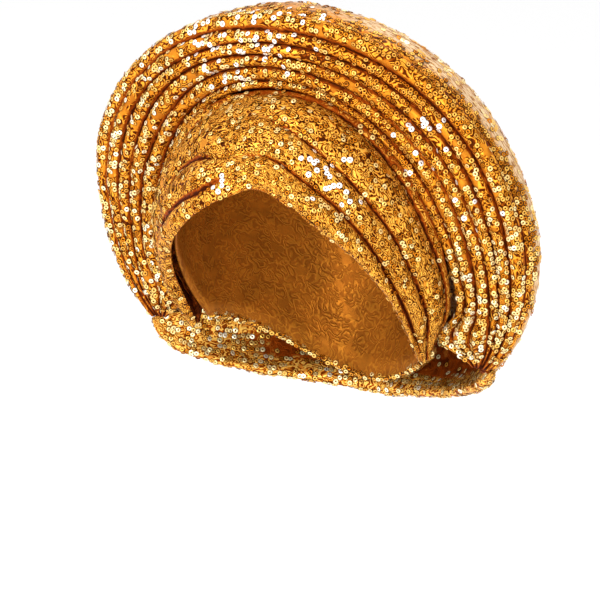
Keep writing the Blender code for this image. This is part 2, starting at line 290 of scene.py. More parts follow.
class Finish:
    # a material under one Principled shader
    def __init__(self, name):
        self.material = bpy.data.materials.new(name)
        self.material.use_nodes = True
        self.tree = self.material.node_tree
        self.surface = self.tree.nodes["Principled BSDF"]

    def add(self, kind, settings, sockets, output=0):
        node = self.tree.nodes.new(kind)
        for key, value in settings.items():
            if key == "stops":
                ramp = node.color_ramp
                while len(ramp.elements) < len(value):
                    ramp.elements.new(0.5)
                for element, (position, colour) in zip(ramp.elements, value):
                    element.position = position
                    element.color = (*colour, 1.0)
            else:
                setattr(node, key, value)
        for key, value in sockets.items():
            plug(self.tree, node.inputs[key], value)
        return Field(self.tree, node.outputs[output])

    def attribute(self, name):
        return self.add("ShaderNodeAttribute", {"attribute_name": name}, {}, "Fac")

    def blend(self, factor, first, second):
        # the node's sockets 0, 6 and 7 and its output 2 are those for colours
        values = [value if isinstance(value, Field) else (*value, 1.0) for value in (first, second)]
        return self.add("ShaderNodeMix", {"data_type": "RGBA"},
                        {0: factor, 6: values[0], 7: values[1]}, 2)

    def step(self, value, low, high):
        return self.add("ShaderNodeMapRange", {"interpolation_type": "SMOOTHSTEP"},
                        {"Value": value, "From Min": low, "From Max": high})

    def set(self, **sockets):
        for key, value in sockets.items():
            plug(self.tree, self.surface.inputs[key.replace("_", " ")], value)


# Cloth finish: gold satin with meandering thread and small rings, with painted shade, dark red, in
# its creases

clothFinish = {
    "burnt": (0.300, 0.055, 0.002),
    "amber": (0.600, 0.180, 0.009),
    "gold": (0.860, 0.370, 0.032),
    "dark": (0.075, 0.012, 0.001),
    # painted shade: the colours laid into the creases
    "crease": (0.050, 0.007, 0.001),
    "redCreaseShade": (0.300, 0.050, 0.003),
    "pale": (0.850, 0.640, 0.400),
    "paleDark": (0.440, 0.230, 0.090),
    "threadSize": 0.0026,
    "threadTurns": 30.0,
    "ringSize": 0.0032,
    "patchSize": 0.018,
    "bareSize": 0.011,
    "bareFrom": 0.57,
    "weaveSize": 0.0007,
    "dashSize": (0.0042, 0.0017),
    "contrast": 1.0,
    "roughness": 0.45,
    "grazing": (0.80, 0.42, 0.14),
}


def makeClothFinish(name, look, paleness):
    finish = Finish(name)
    cloth = finish.add("ShaderNodeUVMap", {"uv_map": "clothMap"}, {})
    patches = finish.add("ShaderNodeTexNoise", {}, {
        "Vector": cloth, "Scale": 1.0 / look["patchSize"], "Detail": 3.0, "Roughness": 0.6})
    meander = finish.add("ShaderNodeTexNoise", {}, {
        "Vector": cloth, "Scale": 0.5 / look["threadSize"], "Detail": 0.5, "Distortion": 0.6})
    turns = finish.add("ShaderNodeMath", {"operation": "SINE"}, {0: meander * look["threadTurns"]})
    thread = turns * 0.5 + 0.5
    cells = finish.add("ShaderNodeTexVoronoi", {}, {
        "Vector": cloth, "Scale": 1.0 / look["ringSize"], "Randomness": 0.75})
    rings = finish.step(abs(cells - 0.34), 0.02, 0.14)
    where = finish.step(patches, 0.50, 0.60)
    pattern = thread * (1.0 - where) + thread * rings * where
    # small patches without stitching, where the satin shows
    bare = finish.step(finish.add("ShaderNodeTexNoise", {}, {
        "Vector": cloth, "Scale": 1.0 / look["bareSize"], "Detail": 1.0}),
        look["bareFrom"], look["bareFrom"] + 0.05)
    pattern = pattern * (1.0 - bare) + 0.60 * bare
    weave = finish.add("ShaderNodeTexNoise", {}, {
        "Vector": cloth, "Scale": 1.0 / look["weaveSize"], "Detail": 0.0})
    stretched = finish.add("ShaderNodeMapping", {}, {
        "Vector": cloth, "Scale": (1.0 / look["dashSize"][0], 1.0 / look["dashSize"][1], 1.0)})
    dashes = finish.add("ShaderNodeTexNoise", {}, {
        "Vector": stretched, "Scale": 1.0, "Detail": 1.0})
    crease = finish.attribute("crease") * (meander * 1.2 + 0.45)
    faded = finish.attribute("faded")
    ground = finish.blend(finish.step(patches, 0.38, 0.60), look["burnt"], look["amber"])
    ground = finish.blend(finish.step(pattern, 0.48, 0.82) * look["contrast"], ground, look["gold"])
    ground = finish.blend((1.0 - finish.step(pattern, 0.10, 0.42)) * look["contrast"],
                          ground, look["dark"])
    paler = finish.blend(finish.step(dashes, 0.40, 0.52), look["paleDark"], look["pale"])
    ground = finish.blend(faded * paleness, ground, paler)
    # painted shade: the cloth is darkened to red and then near black along the crease mark
    ground = finish.blend(finish.step(crease, 0.10, 0.60), ground, look["redCreaseShade"])
    ground = finish.blend(finish.step(crease, 0.50, 0.95), ground, look["crease"])
    bump = finish.add("ShaderNodeBump", {}, {
        "Strength": 0.6, "Distance": 0.0004, "Height": pattern * 0.75 + weave * 0.25})
    finish.set(Base_Color=ground, Normal=bump, Roughness=look["roughness"] - 0.15 * pattern)
    finish.surface.inputs["Metallic"].default_value = 0.35
    finish.surface.inputs["Specular IOR Level"].default_value = 0.08
    finish.surface.inputs["Specular Tint"].default_value = (*look["grazing"], 1.0)
    return finish.material


# the rings' tones, from dark to glint, are painted reflection: how much light each ring gives back
sequinFinish = {
    "dark": (0.300, 0.085, 0.005),
    "dimReflection": (0.700, 0.220, 0.010),
    "gold": (0.930, 0.525, 0.100),
    "brightReflection": (1.0, 0.840, 0.420),
    "glint": (1.0, 1.0, 0.950),
    # painted shade round the edges and holes of the rings
    "edge": (0.045, 0.008, 0.001),
    "roughness": 0.30,
    "metallic": 0.65,
    "shine": 0.15,
    "grazing": (1.0, 0.70, 0.32),
}


def makeSequinFinish(name, look):
    finish = Finish(name)
    tone = finish.attribute("tone")
    rim = finish.attribute("rim")
    # painted reflection: the tone picks each ring's colour, from dark through gold to a white glint
    body = finish.add("ShaderNodeValToRGB", {"stops": [
        (0.0, look["dark"]), (0.25, look["dimReflection"]), (0.5, look["gold"]), (0.75, look["brightReflection"]),
        (0.95, look["glint"])]}, {"Fac": tone})
    # painted shade: a dark outline round each ring's edge and hole, wider the dimmer the ring's
    # tone
    rimShade = finish.step(rim, 0.25 + 0.50 * tone, 0.50 + 0.55 * tone)
    body = finish.blend(rimShade, body, look["edge"])
    finish.set(Base_Color=body)
    finish.surface.inputs["Metallic"].default_value = look["metallic"]
    finish.surface.inputs["Roughness"].default_value = look["roughness"]
    finish.surface.inputs["Specular IOR Level"].default_value = look["shine"]
    finish.surface.inputs["Specular Tint"].default_value = (*look["grazing"], 1.0)
    return finish.material


frontCloth = makeClothFinish("frontCloth", clothFinish, 0.90)
wrapCloth = makeClothFinish("wrapCloth", {
    **clothFinish, "burnt": (0.37, 0.088, 0.004), "amber": (0.60, 0.195, 0.010),
    "gold": (0.88, 0.43, 0.055), "dark": (0.05, 0.008, 0.001), "bareFrom": 0.66,
    "threadSize": 0.0022}, 0.0)
# painted light: a brighter copy of the cloth colours, which lightens the nape band where it sits in
# shade
litNapeCloth = makeClothFinish("litNapeCloth", {
    **clothFinish, "burnt": (0.60, 0.150, 0.008), "amber": (0.85, 0.300, 0.020),
    "gold": (1.0, 0.58, 0.110), "dark": (0.20, 0.036, 0.002), "bareFrom": 0.66}, 0.0)
backCloth = makeClothFinish("backCloth", {**clothFinish, "contrast": 0.6}, 1.0)
# painted shade: a darker copy of the cloth with a faint pattern, for the crown whose inside is seen
# in shade
shadedCrownCloth = makeClothFinish("shadedCrownCloth", {
    **clothFinish, "burnt": (0.22, 0.065, 0.006), "amber": (0.30, 0.090, 0.008), "contrast": 0.12},
    0.0)
sequinGold = makeSequinFinish("sequinGold", sequinFinish)


# Sheets of cloth

def clothLengths(points):
    # metres of cloth across and along at each point, which carry the pattern
    across = np.linalg.norm(np.diff(points, axis=1), axis=2).mean(axis=0)
    along = np.linalg.norm(np.diff(points, axis=0), axis=2).max(axis=1)
    acrossAt = np.concatenate([[0.0], np.cumsum(across)])
    alongAt = np.concatenate([[0.0], np.cumsum(along)])
    return np.meshgrid(acrossAt, alongAt)


def makeSheet(name, points, marks, material):
    # a grid moved to its place, given its wall inwards from the outer face
    rows, columns = points.shape[0] - 1, points.shape[1] - 1
    bpy.ops.object.select_all(action="DESELECT")
    bpy.ops.mesh.primitive_grid_add(x_subdivisions=columns, y_subdivisions=rows, size=2.0,
                                    location=(0.0, 0.0, 0.0))
    sheet = bpy.context.active_object
    sheet.name = name
    mesh = sheet.data
    flat = np.zeros(len(mesh.vertices) * 3, np.float32)
    mesh.vertices.foreach_get("co", flat)
    flat = flat.reshape(-1, 3)
    column = np.rint((flat[:, 0] + 1.0) / 2.0 * columns).astype(int)
    row = np.rint((flat[:, 1] + 1.0) / 2.0 * rows).astype(int)
    mesh.vertices.foreach_set("co", points[row, column].astype(np.float32).ravel())
    across, along = clothLengths(points)
    mapping = mesh.uv_layers[0]
    mapping.name = "clothMap"
    corner = np.zeros(len(mesh.loops), int)
    mesh.loops.foreach_get("vertex_index", corner)
    lengths = np.stack([across[row, column][corner], along[row, column][corner]], axis=1)
    mapping.uv.foreach_set("vector", lengths.astype(np.float32).ravel())
    for key, value in marks.items():
        layer = mesh.attributes.new(key, "FLOAT", "POINT")
        layer.data.foreach_set("value", value[row, column].astype(np.float32))
    wall = sheet.modifiers.new("wall", "SOLIDIFY")
    wall.thickness = gele["wall"]
    wall.offset = -1.0
    bpy.ops.object.modifier_apply(modifier=wall.name)
    bpy.ops.object.shade_smooth()
    mesh.materials.clear()
    mesh.materials.append(material)
    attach(sheet, "root")
    print(name, len(mesh.polygons), "faces")
    return sheet


# Sequins: small cupped rings sewn in rows

sequin = {
    "radius": 0.00190,
    "sides": 8,
    "cup": 0.00028,
    "waist": 0.54,
    "hole": 0.26,
    "flatHole": 0.32,
    "pitch": 0.00335,
    "lift": 0.00050,
    "tilt": 0.15,
    "jitter": 0.00035,
}

# Places given a painted highlight, seen from the front: x, z, reach and strength
glintSpots = [
    (-0.050, 0.024, 0.030, 0.50),
    (0.000, 0.034, 0.026, 0.42),
    (0.042, -0.038, 0.012, 0.58),
    (0.061, -0.051, 0.013, 0.58),
    (-0.012, -0.058, 0.012, 0.45),
    (0.095, -0.020, 0.026, 0.30),
    (0.130, -0.060, 0.030, 0.22),
]


def makeSequinShape(settings, flat):
    # one ring, as loops of points from the outer edge to the hole, with a mark on its edges where
    # painted shade goes
    radius, cup = settings["radius"], settings["cup"]
    loops = [(radius, 0.0, 1.0), (radius * settings["waist"], cup, 0.0),
             (radius * settings["hole"], cup * 0.6, 1.0)]
    if flat:
        loops = [(radius, 0.0, 0.4), (radius * settings["flatHole"], cup * 0.5, 0.0)]
    turn = np.linspace(0.0, math.tau, settings["sides"], endpoint=False)
    points = np.array([(reach * math.cos(angle), reach * math.sin(angle), height)
                       for reach, height, _ in loops for angle in turn])
    rim = np.repeat([mark for _, _, mark in loops], settings["sides"])
    faces = []
    for loop in range(len(loops) - 1):
        for side in range(settings["sides"]):
            nextSide = (side + 1) % settings["sides"]
            low, high = loop * settings["sides"], (loop + 1) * settings["sides"]
            faces.append((low + side, low + nextSide, high + nextSide, high + side))
    return points, rim, np.array(faces)


def readGrid(values, row, column):
    # values between the points of a grid
    row = np.clip(row, 0.0, values.shape[0] - 1.001)
    column = np.clip(column, 0.0, values.shape[1] - 1.001)
    lowRow, lowColumn = row.astype(int), column.astype(int)
    partRow, partColumn = (row - lowRow)[:, None], (column - lowColumn)[:, None]
    near = values[lowRow, lowColumn] * (1 - partColumn) + values[lowRow, lowColumn + 1] * partColumn
    far = values[lowRow + 1, lowColumn] * (1 - partColumn)
    far = far + values[lowRow + 1, lowColumn + 1] * partColumn
    return near * (1 - partRow) + far * partRow


def layRows(points, rows, settings, chance):
    # grid places of sequins along rows, thinned out where the rows draw together
    found = []
    columns = np.arange(points.shape[1], dtype=float)
    for index, row in enumerate(rows):
        line = readGrid(points, np.full(columns.shape, row), columns)
        other = rows[index + 1] if index + 1 < len(rows) else rows[index - 1]
        beside = readGrid(points, np.full(columns.shape, other), columns)
        spacing = np.linalg.norm(beside - line, axis=1)
        length = np.concatenate([[0.0], np.cumsum(np.linalg.norm(np.diff(line, axis=0), axis=1))])
        count = int(length[-1] / settings["pitch"])
        where = (np.arange(count) + rng.uniform(0.2, 0.8)) * settings["pitch"]
        where = where + rng.normal(0.0, settings["jitter"], count)
        column = np.interp(where, length, columns)
        room = np.interp(where, length, spacing) / settings["pitch"]
        fits = np.clip(room * 1.1, 0.0, 1.0) ** 1.4
        # threads catch a few sequins at a time, so they come and go in short runs
        runs = 0.5 + 0.5 * np.sin(where / 0.016 + rng.uniform(0.0, phaseSpan)
                                  + 2.0 * np.sin(where / 0.043 + rng.uniform(0.0, phaseSpan)))
        wanted = chance(row, column / (points.shape[1] - 1.0))
        keep = rng.random(count) < fits * np.clip(wanted * (0.72 + 0.56 * runs), 0.0, 0.98)
        # sequins stray a little from their row, in rows of the grid
        stray = rng.normal(0.0, 0.07, count) * (other - row)
        found.append(np.stack([row + stray, column], axis=1)[keep])
    return np.concatenate(found)


def catchLight(centre):
    # painted highlight: sequins of one small patch are made white together
    lit = np.zeros(len(centre))
    for x, z, reach, strength in glintSpots:
        apart = ((centre[:, 0] - x) ** 2 + (centre[:, 2] - z) ** 2) / reach ** 2
        lit = lit + strength * np.exp(-apart)
    together = 0.5 + 0.36 * ripple(centre[:, 0], centre[:, 2], 7, 0.007, 0.016)
    return (lit * together > rng.uniform(0.10, 0.34, len(centre))) & (centre[:, 1] < 0.02)


def makeSequins(name, points, rows, chance, crease, flat=False, tones=(0.30, 0.80),
                shadedBand=None):
    normals = outwardNormals(points)
    places = layRows(points, rows, sequin, chance)
    # none are sewn down in the creases
    folded = readGrid(crease[..., None], places[:, 0], places[:, 1])[:, 0]
    places = places[folded < rng.uniform(0.35, 0.75, len(folded))]
    centre = readGrid(points, places[:, 0], places[:, 1])
    straight = readGrid(normals, places[:, 0], places[:, 1])
    count = len(places)
    normal = straight + rng.normal(0.0, sequin["tilt"], (count, 3))
    normal /= np.linalg.norm(normal, axis=1, keepdims=True)
    centre = centre + straight * sequin["lift"]
    helper = np.where(np.abs(normal[:, 2:3]) > 0.9, [[1.0, 0.0, 0.0]], [[0.0, 0.0, 1.0]])
    across = np.cross(helper, normal)
    across /= np.linalg.norm(across, axis=1, keepdims=True)
    along = np.cross(normal, across)
    shape, rim, faces = makeSequinShape(sequin, flat)
    ring = shape[None, :, :] * rng.uniform(0.92, 1.05, (count, 1, 1))
    vertices = (centre[:, None, :] + across[:, None, :] * ring[:, :, 0:1]
                + along[:, None, :] * ring[:, :, 1:2] + normal[:, None, :] * ring[:, :, 2:3])
    allFaces = faces[None, :, :] + (np.arange(count) * len(shape))[:, None, None]
    mesh = bpy.data.meshes.new(name)
    mesh.from_pydata(vertices.reshape(-1, 3), [], allFaces.reshape(-1, 4).tolist())
    # painted reflection: each ring gets a random tone for how much light it gives back, and some
    # are made dark
    tone = tones[0] + (tones[1] - tones[0]) * rng.random(count)
    tone = np.where(rng.random(count) < 0.10, tone * 0.35, tone)
    # painted shade: the rings are darker in a band across the sheet
    if shadedBand:
        middle, reach, amount = shadedBand
        sideways = places[:, 1] / (points.shape[1] - 1.0)
        tone = tone * (1.0 - amount * np.exp(-((sideways - middle) / reach) ** 2))
    tone = np.where(catchLight(centre), 1.0, tone)
    for key, value in (("tone", np.repeat(tone, len(shape))), ("rim", np.tile(rim, count))):
        layer = mesh.attributes.new(key, "FLOAT", "POINT")
        layer.data.foreach_set("value", value.astype(np.float32))
    mesh.materials.append(sequinGold)
    item = bpy.data.objects.new(name, mesh)
    bpy.context.scene.collection.objects.link(item)
    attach(item, "root")
    print(name, count, "sequins", len(allFaces) * len(faces) * 2, "triangles")
    return item


# The pleated fan

fanSettings = {
    "columns": 280,
    "rowsPerPleat": 9,
    "rollRows": 20,
    "edges": [0.0, 0.15, 0.32, 0.475, 0.62, 0.785, 1.0],
    "pleatRise": 0.50,
    "wander": 0.026,
    "unevenness": 0.00035,
    "flat": (0.56, 0.14),
}

fanArches = [
    Arch(0.00, -22.5, 0.8105, 0.6461, 0.310, 2.10, 0.970, 0.0, 0.0),
    Arch(1.00, -17.6, 1.003, 0.982, 0.367, 2.06, 1.065, 0.2, 0.0),
    Arch(1.10, -15.9, 1.010, 1.002, 0.374, 1.98, 1.085, 0.3, 0.0),
    Arch(1.25, -12.9, 1.008, 1.008, 0.381, 1.92, 1.090, 0.6, 0.0),
    Arch(1.40, -10.2, 0.990, 0.982, 0.381, 1.92, 1.085, 1.0, 0.0),
    Arch(1.50, -9.2, 0.966, 0.948, 0.380, 1.92, 1.060, 1.4, 0.0),
]


crossing = {"start": 0.335, "slant": 0.21, "end": 0.64}


def crossingLift(across, share):
    # the upper wrap stands off by a layer where it lies on the lower one
    edge = crossing["start"] + crossing["slant"] * (1.0 - share) ** 2
    inner = smoothBetween(edge - 0.05, edge - 0.01, across)
    outer = 1.0 - smoothBetween(crossing["end"] + 0.02, crossing["end"] + 0.14, across)
    return gele["layer"] * inner * outer


def makeFan(settings):
    across = 0.001 + 0.998 * np.linspace(0.0, 1.0, settings["columns"] + 1)
    edges = settings["edges"]
    last = len(edges) - 1
    wander = [np.zeros_like(across)]
    for _ in range(last):
        drift = sum(np.sin(across * rng.uniform(5, 22) + rng.uniform(0, phaseSpan))
                    for _ in range(3))
        wander.append(settings["wander"] * drift / 3.0)
    lines = [edge + drift for edge, drift in zip(edges, wander)]
    lines[-1] = edges[-1] + 0.0 * across
    places, parts, pleatOf = [], [], []
    for index in range(last):
        for step in range(settings["rowsPerPleat"]):
            part = step / settings["rowsPerPleat"]
            places.append(lines[index] + (lines[index + 1] - lines[index]) * part)
            parts.append(part)
            pleatOf.append(index)
    rollEnd = fanArches[-1].place
    for step in range(settings["rollRows"] + 1):
        part = step / settings["rollRows"]
        places.append(1.0 + (rollEnd - 1.0) * part + 0.0 * across)
        parts.append(part)
        pleatOf.append(last)
    places, parts, pleatOf = np.array(places), np.array(parts)[:, None], np.array(pleatOf)
    base = archPoints(archAt(fanArches, places), across[None, :])
    outward = base[0] - np.array([0.0, gele["pinchBack"], -gele["pinchDrop"]])
    outward /= np.linalg.norm(outward, axis=1, keepdims=True)
    fade = np.clip(1.0 - places / edges[1], 0.0, 1.0)[..., None]
    base = base + outward[None] * crossingLift(across, 1.0)[None, :, None] * fade
    hook = gele["rootHook"] * np.clip(1.0 - places / edges[3], 0.0, 1.0)
    base = hooked(base, across, hook)
    front = outwardNormals(base)
    height = np.zeros(places.shape)
    crease = np.zeros(places.shape)
    for index in range(last):
        rowsHere = np.nonzero(pleatOf == index)[0]
        nextRow = rowsHere[-1] + 1
        width = np.linalg.norm(base[nextRow] - base[rowsHere[0]], axis=1)
        part = parts[rowsHere]
        swell = 1.0 + 0.18 * np.sin(across * rng.uniform(12, 28) + rng.uniform(0, phaseSpan))
        roll = np.sin(math.pi * part) ** 0.62
        height[rowsHere] = settings["pleatRise"] * width * roll * swell
        # painted shade: the cloth is darkened in the crease between pleats
        near = np.minimum(part, 1.0 - part) * width[None, :]
        crease[rowsHere] = 1.0 - smoothBetween(0.0001, 0.0020, near)
    # painted shade also in the crease where the roll begins
    onRoll = np.nonzero(pleatOf == last)[0]
    near = (places[onRoll] - 1.0) * 0.060
    crease[onRoll] = 1.0 - smoothBetween(0.0002, 0.0020, near)
    run, rise = clothLengths(base)
    opened = np.sin(math.pi * across) ** 0.6
    height = height + settings["unevenness"] * ripple(run, rise * 1.5, 9, 0.012, 0.045) * opened
    points = base + front * height[..., None]
    # paler on the outer part of the roll, over its right half
    faded = smoothBetween(1.06, 1.20, places) * smoothBetween(0.42, 0.60, across)
    marks = {"crease": crease, "faded": faded}
    sheet = makeSheet("pleatedFan", points, marks, frontCloth)
    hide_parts("pleated_fan")
    perPleat, start = settings["rowsPerPleat"], last * settings["rowsPerPleat"]
    pleatRows = [index * perPleat + perPleat * part for index in range(last)
                 for part in (0.24, 0.42, 0.60, 0.78)]
    rollRows = [start + settings["rollRows"] * part
                for part in (0.06, 0.15, 0.25, 0.35, 0.46, 0.57, 0.68, 0.79, 0.90)]

    def pleatChance(row, along):
        # dense at both sides, looser over the top
        sides = smoothBetween(0.22, 0.42, np.abs(along - 0.50))
        return 0.58 + 0.40 * sides

    def rollChance(row, along):
        sides = smoothBetween(0.20, 0.40, np.abs(along - 0.45))
        outer = smoothBetween(0.25, 0.45, (row - start) / settings["rollRows"])
        return (0.55 + 0.35 * sides) * (1.0 - outer * smoothBetween(0.42, 0.60, along))

    def edgeChance(row, along):
        return 0.40 * smoothBetween(0.45, 0.60, along)

    pleatRings = makeSequins("fanSequins", points, pleatRows, pleatChance, crease,
                             tones=(0.36, 0.88), shadedBand=(0.64, 0.15, 0.5))
    rollRings = makeSequins("rollSequins", points, rollRows, rollChance, crease,
                            tones=(0.12, 0.75), shadedBand=(0.66, 0.14, 0.35))
    edgeRings = makeSequins("edgeSequins", points, rollRows[4:], edgeChance,
                            crease, flat=True, tones=(0.45, 0.85))


# The two wraps round the front opening

wrapSettings = {
    "bulge": 0.0075,
    "foldDepth": 0.0060,
    "creaseReach": 0.0023,
    "hemRadius": 0.0015,
    "hemRows": 8,
    "apexDrop": 0.055,
    "sideDrop": 0.168,
    "turn": 95.0,
    "rows": 64,
    "tuckRows": 8,
    "rowSequins": 0.0034,
}

# edge of the opening: share of the turn, share of the drop from its apex to its side
openingEdge = [
    (-1.00, 1.00), (-0.85, 0.81), (-0.70, 0.62), (-0.53, 0.44), (-0.385, 0.318),
    (-0.235, 0.190), (-0.07, 0.076), (0.09, 0.000), (0.13, 0.003), (0.25, 0.062),
    (0.35, 0.150), (0.505, 0.295), (0.60, 0.395), (0.67, 0.490), (0.75, 0.600),
    (0.85, 0.765), (0.92, 0.895), (1.00, 1.00),
]


def wrapEdgeDrop(turn):
    share = np.clip(turn / wrapSettings["turn"], -1.0, 1.0)
    rise = alongTable(openingEdge, share)[..., 1]
    return wrapSettings["apexDrop"] + (wrapSettings["sideDrop"] - wrapSettings["apexDrop"]) * rise


def seatArch(inward, **changes):
    end = (gele["headHalfWidth"] + gele["seatSpread"]) / gele["pinchHalfSpan"]
    seat = insideOf(fanArches[0], inward)._replace(end=end, **changes)
    return Arch(*(np.float64(value) for value in seat))


def seatLine(across, step):
    # where the fan stands on the wraps, and in steps how they go on under it
    seat = seatArch(0.0005 + 0.002 * step, lean=gele["rootLean"] + 5.0 * step, back=0.5 * step)
    points = hooked(archPoints(seat, across), across, gele["seatHook"])
    return clearOfHead(points, gele["standOff"])


def wrapPoints(across, share, tuck):
    turn = (2.0 * across - 1.0) * wrapSettings["turn"]
    edge = onHead(turn, -wrapEdgeDrop(turn), gele["standOff"])
    seat = seatLine(across, 0.0)
    middle = edge * (1.0 - share[..., None]) + seat * share[..., None]
    outward = middle - np.array([0.0, gele["pinchBack"] * 0.4, -gele["headCrownHeight"]])
    outward /= np.linalg.norm(outward, axis=-1, keepdims=True)
    sides = np.abs(2.0 * across - 1.0) ** 2
    bulge = wrapSettings["bulge"] * (1.0 - 0.6 * sides) * 4.0 * share * (1.0 - share)
    points = clearOfHead(middle + outward * bulge[..., None], gele["standOff"])
    return points * (1.0 - tuck[..., None]) + seatLine(across, 1.0) * tuck[..., None]


def makeWrap(name, node, settings):
    rows = np.linspace(0.0, 1.0, wrapSettings["rows"] + 1)
    share = np.concatenate([rows, np.ones(wrapSettings["tuckRows"])])[:, None]
    tuck = np.concatenate([0.0 * rows, np.linspace(0.0, 1.0, wrapSettings["tuckRows"] + 1)[1:]])
    column = np.linspace(0.0, 1.0, settings["columns"] + 1)[None, :]
    left, right = settings["span"](share)
    across = left + (right - left) * column
    share = share + 0.0 * across
    points = wrapPoints(across, share, tuck[:, None] + 0.0 * across)
    normals = outwardNormals(points)
    height = np.zeros(share.shape)
    crease = np.zeros(share.shape)
    lines = [np.zeros_like(across)]
    lines += [alongTable(table, across)[..., 1] for table in settings["folds"]]
    lines.append(np.ones_like(across))
    strength = settings["fade"](across)
    for index in range(len(lines) - 1):
        low, high = lines[index], lines[index + 1]
        part = np.clip((share - low) / (high - low), 0.0, 1.0)
        inside = (share >= low) & (share < high)
        roll = (4.0 * part * (1.0 - part)) ** 0.62 * np.minimum(1.0, (high - low) / 0.2)
        height = np.where(inside, wrapSettings["foldDepth"] * roll * strength, height)
    tall = np.linalg.norm(points[wrapSettings["rows"]] - points[0], axis=1)[None, :]
    # painted shade: darkened along each fold line, and towards the fan's root where the wraps go in
    # under it
    for line in lines[1:-1]:
        near = np.abs(share - line) * tall / wrapSettings["creaseReach"]
        crease = np.maximum(crease, 1.0 - smoothBetween(0.12, 1.0, near * settings["fineness"]))
    crease = crease * strength
    crease = np.maximum(crease, 0.45 * smoothBetween(0.84, 0.94, share))
    crease = np.maximum(crease, 0.90 * smoothBetween(0.94, 1.00, share))
    if settings["upper"]:
        height = height + crossingLift(across, share)
    run, rise = clothLengths(points)
    calm = 4.0 * share * (1.0 - share)
    height = height + 0.0004 * ripple(run, rise, 9, 0.012, 0.05) * calm
    points = points + normals * height[..., None]
    points = gathered(points, across, 0.80, 0.55, settings["knot"])
    # the edge is rolled under in a narrow hem
    hemRows, radius = wrapSettings["hemRows"], wrapSettings["hemRadius"]
    onward = points[0] - points[2]
    onward /= np.linalg.norm(onward, axis=1, keepdims=True)
    normal = outwardNormals(points)[0]
    hem = [points[0] + onward * radius * math.sin(angle) + normal * radius * (math.cos(angle) - 1.0)
           for angle in np.linspace(math.pi, 0.0, hemRows, endpoint=False)]
    points = np.concatenate([[hem[0] - onward * 0.003], hem, points])
    # a light painted shade on the rolled hem
    crease = np.concatenate([crease[:1] * 0.0 + 0.3] * (hemRows + 1) + [crease])
    marks = {"crease": crease, "faded": 0.0 * crease}
    sheet = makeSheet(name, points, marks, wrapCloth)
    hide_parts(node)
    reach = rise[wrapSettings["rows"], 0]
    count = int(reach / wrapSettings["rowSequins"])
    rowsAt = hemRows + 1.3 + np.arange(count) * (wrapSettings["rows"] - 1.0) / count
    sequins = makeSequins(name + "Sequins", points, rowsAt,
                          settings["chance"], crease, tones=(0.10, 0.70))


wrapUnder = {
    "columns": 150,
    "span": lambda share: (0.012 + 0.0 * share, crossing["end"] + 0.0 * share),
    "folds": [
        [(0.0, 0.20), (0.29, 0.165), (0.35, 0.150), (0.41, 0.115), (0.46, 0.14), (0.64, 0.2)],
        [(0.0, 0.45), (0.30, 0.375), (0.33, 0.420), (0.38, 0.405), (0.43, 0.34), (0.64, 0.3)],
        [(0.0, 0.80), (0.25, 0.700), (0.30, 0.740), (0.34, 0.800), (0.43, 0.86), (0.64, 0.9)],
    ],
    "fade": lambda across: 1.0 - smoothBetween(0.41, 0.50, across),
    "fineness": 0.70,
    "chance": lambda row, along: 0.56 - 0.20 * smoothBetween(0.12, 0.34, along),
    "upper": False,
    "knot": (0.0800, 0.0100, -0.1690),
    "on": ["crownWrap"],
    "flat": (0.25, 0.10),
}

wrapOver = {
    "columns": 150,
    "span": lambda share: (crossing["start"] + crossing["slant"] * (1.0 - share) ** 2, 0.988),
    "folds": [
        [(0.33, 0.30), (0.54, 0.26), (0.62, 0.22), (0.69, 0.24), (0.76, 0.22), (0.84, 0.16),
         (0.89, 0.14), (0.99, 0.20)],
        [(0.33, 0.78), (0.47, 0.69), (0.54, 0.56), (0.61, 0.49), (0.67, 0.48), (0.77, 0.46),
         (0.85, 0.43), (0.99, 0.50)],
        [(0.33, 0.95), (0.61, 0.90), (0.74, 0.86), (0.78, 0.84), (0.82, 0.83), (0.86, 0.85),
         (0.99, 0.80)],
    ],
    "fade": lambda across: 0.20 + 0.80 * smoothBetween(0.44, 0.60, across),
    "fineness": 1.25,
    "chance": lambda row, along: 0.34 + 0.25 * smoothBetween(0.80, 0.95, along),
    "upper": True,
    "knot": (0.0800, 0.0075, -0.1655),
    "on": ["crownWrap", "wrapUnder"],
    "flat": (0.25, 0.092),
}

# The back, the nape and the crown

backSettings = {
    "columns": 220,
    "rows": 90,
    "folds": 11,
    "foldDepth": 0.0022,
    "rowSequins": 0.0034,
    "flat": (0.46, 0.26),
}

backArches = [
    Arch(0.16, 5.0, 0.868, 0.838, 0.375, 1.88, 1.014, 1.6, 0.0),
    Arch(0.27, 15.0, 0.828, 0.785, 0.370, 1.90, 1.014, 1.6, 0.0),
    Arch(0.40, 27.0, 0.762, 0.748, 0.365, 1.92, 1.005, 1.7, 0.0),
    Arch(0.57, 43.0, 0.660, 0.725, 0.350, 1.95, 0.996, 1.8, 0.1),
    Arch(0.77, 62.0, 0.532, 0.701, 0.300, 2.00, 0.988, 1.9, 0.3),
    Arch(0.93, 83.0, 0.4169, 0.660, 0.180, 1.95, 1.000, 2.0, 0.5),
    Arch(1.00, 93.0, 0.3928, 0.640, 0.120, 1.90, 1.010, 2.0, 0.6),
]


def backTable():
    lip = insideOf(fanArches[-1], gele["layer"], back=1.6)
    front = [lip._replace(place=0.0, lean=lip.lean - 2.0),
             lip._replace(place=0.05, lean=lip.lean + 3.0)]
    return front + backArches


